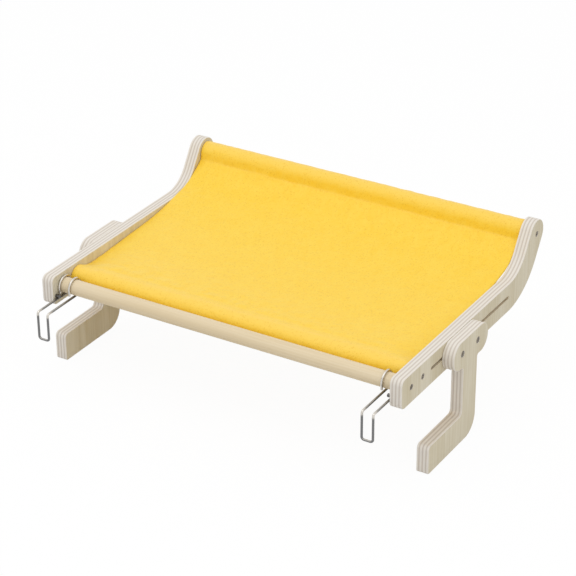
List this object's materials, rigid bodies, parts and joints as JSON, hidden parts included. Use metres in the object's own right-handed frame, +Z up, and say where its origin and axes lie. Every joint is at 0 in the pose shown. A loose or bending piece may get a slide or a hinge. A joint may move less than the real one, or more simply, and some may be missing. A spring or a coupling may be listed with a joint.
{
  "type": "window cat hammock",
  "caption": "Window-sill cat hammock with bent plywood side rails, sliding under-sill legs, round dowels, a sagging plush sling and swinging wire hooks.",
  "frame": {"origin": "room-side top edge of the window sill, midway between the rails: the plane of the rails' undersides and the plane of the shafts' front faces", "axes": "+X along the sill, +Y from the window into the room, +Z up"},
  "size_m": [0.5454, 0.4083, 0.1991],
  "materials": {
    "plywood": "clear matt lacquer",
    "dowel_wood": "sanded",
    "plush": "short plush pile",
    "hook_wire": "bright nickel",
    "pin_steel": "bright zinc",
    "bolt_steel": "black oxide",
    "insert_brass": "plain"
  },
  "bodies": {
    "root": {"left_rail": "plywood", "right_rail": "plywood", "front_dowel": "dowel_wood", "sling_front_dowel": "dowel_wood", "sling_rear_dowel": "dowel_wood", "sling": "plush", "left_hook_stop": "pin_steel", "right_hook_stop": "pin_steel", "left_dowel_bolts": "bolt_steel", "right_dowel_bolts": "bolt_steel", "left_dowel_inserts": "insert_brass", "right_dowel_inserts": "insert_brass"},
    "left_leg": {"left_leg": "plywood", "left_leg_bolts": "bolt_steel", "left_leg_nuts": "pin_steel"},
    "right_leg": {"right_leg": "plywood", "right_leg_bolts": "bolt_steel", "right_leg_nuts": "pin_steel"},
    "left_hook": {"left_hook": "hook_wire"},
    "right_hook": {"right_hook": "hook_wire"}
  },
  "joints": [
    {"name": "left_leg_slide", "type": "slide", "parent": "root", "child": "left_leg", "axis": [0, 1, 0], "range_m": [-0.0475, 0.1139]},
    {"name": "right_leg_slide", "type": "slide", "parent": "root", "child": "right_leg", "axis": [0, 1, 0], "range_m": [-0.0475, 0.1139]},
    {"name": "left_hook_swing", "type": "hinge", "parent": "root", "child": "left_hook", "pos_m": [-0.2313, -0.1014, 0.0206], "axis": [1, 0, 0], "range_deg": [0, 90]},
    {"name": "right_hook_swing", "type": "hinge", "parent": "root", "child": "right_hook", "pos_m": [0.2313, -0.1014, 0.0206], "axis": [1, 0, 0], "range_deg": [0, 90]}
  ]
}
